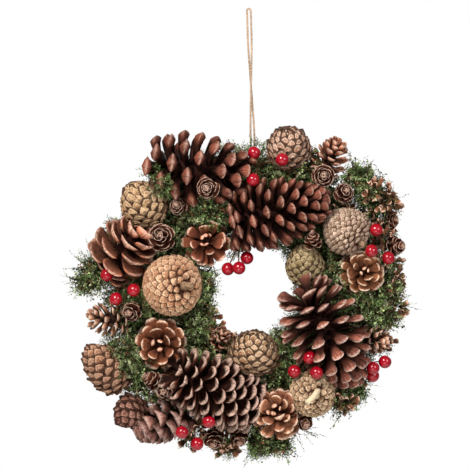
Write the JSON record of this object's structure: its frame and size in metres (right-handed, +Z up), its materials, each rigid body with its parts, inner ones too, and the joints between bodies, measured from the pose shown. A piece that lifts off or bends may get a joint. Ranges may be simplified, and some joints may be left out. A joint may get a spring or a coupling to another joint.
{
  "type": "sequoia christmas wreath",
  "caption": "Hanging winter wreath: a straw ring covered with pine cones, larch rosettes, moss and red berries, on a loop of jute twine.",
  "frame": {"origin": "inside top of the twine's hanging loop, where the hook holds it", "axes": "+Z up along the hanging twine, -Y out of the wreath's face, +X to the right seen from the front"},
  "size_m": [0.3888, 0.1088, 0.5082],
  "materials": {
    "straw": "dry straw, rough",
    "jute": "fibrous twine",
    "dark_cone": "dry dark cone scales",
    "rose_cone": "dry brown cone scales, paler rims",
    "tan_cone": "dry tan cone scales",
    "larch": "dry larch cone, pale edges",
    "berry": "glossy red",
    "moss": "dry moss fibres"
  },
  "bodies": {
    "root": {"base_ring": "straw", "berries_bottom": "berry", "berries_far_right": "berry", "berries_hole": "berry", "berries_left": "berry", "berries_lower_right": "berry", "berries_right": "berry", "berries_top": "berry", "big_cone_bottom": "dark_cone", "big_cone_bottom_left": "dark_cone", "big_cone_left": "dark_cone", "big_cone_right": "dark_cone", "big_cone_top_left": "dark_cone", "big_cone_top_right": "dark_cone", "closed_cone_bottom_left": "tan_cone", "closed_cone_bottom_right": "tan_cone", "closed_cone_far_left": "tan_cone", "closed_cone_inner": "tan_cone", "closed_cone_inner_right": "tan_cone", "closed_cone_left": "tan_cone", "closed_cone_right": "tan_cone", "closed_cone_top": "tan_cone", "closed_cone_top_left": "tan_cone", "moss_bottom": "moss", "moss_bottom_right": "moss", "moss_far_left": "moss", "moss_far_right": "moss", "moss_inner_left": "moss", "moss_inner_right": "moss", "moss_lower_left": "moss", "moss_lower_right": "moss", "moss_right": "moss", "moss_top": "moss", "moss_top_left": "moss", "moss_upper_left": "moss", "moss_upper_right": "moss", "rose_cone_bottom": "rose_cone", "rose_cone_far_left": "rose_cone", "rose_cone_far_right": "rose_cone", "rose_cone_inner": "rose_cone", "rose_cone_left": "rose_cone", "rose_cone_right": "rose_cone", "rose_cone_top": "rose_cone", "rose_cone_top_right": "rose_cone", "rosette_bottom": "larch", "rosette_bottom_middle": "larch", "rosette_bottom_right": "larch", "rosette_far_left": "larch", "rosette_far_right": "larch", "rosette_inner_right": "larch", "rosette_left": "larch", "rosette_low_left": "larch", "rosette_lower_left": "larch", "rosette_right": "larch", "rosette_top_left": "larch", "rosette_top_right": "larch", "rosette_upper_left": "larch", "rosette_upper_right": "larch", "twine_loop": "jute", "twine_tie": "jute"}
  },
  "joints": []
}
